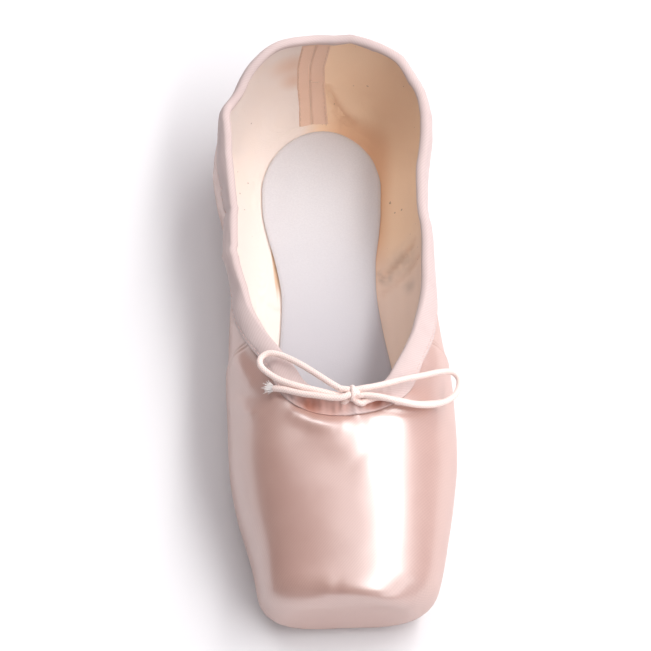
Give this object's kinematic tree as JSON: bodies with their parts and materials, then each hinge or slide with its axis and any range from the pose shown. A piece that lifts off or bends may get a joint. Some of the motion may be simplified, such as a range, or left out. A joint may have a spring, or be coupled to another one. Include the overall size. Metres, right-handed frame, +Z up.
{
  "type": "pointe shoe",
  "caption": "Ballet pointe shoe with a stiff boxed toe, flat toe platform, bound collar with a tied drawstring bow, soft heel and thin leather sole.",
  "frame": {"origin": "on the floor, under the middle of the shoe's length and width", "axes": "+Y from the toe platform towards the heel, +Z up, +X to the side that is on the right when looking down on the shoe with its toe towards the viewer"},
  "size_m": [0.083, 0.2175, 0.0592],
  "materials": {
    "satin": "pale pink satin, glossy along the weave",
    "binding_twill": "matte pink diagonal twill",
    "sole_leather": "matte natural leather",
    "insole_suede": "matte pale grey suede",
    "elastic_cord": "matte round braid"
  },
  "bodies": {
    "root": {"upper": "satin", "binding": "binding_twill", "outsole": "sole_leather", "insole": "insole_suede", "bow_knot": "elastic_cord", "bow_loop_left": "elastic_cord", "bow_loop_right": "elastic_cord", "bow_end_left": "elastic_cord", "bow_end_right": "elastic_cord"}
  },
  "joints": []
}
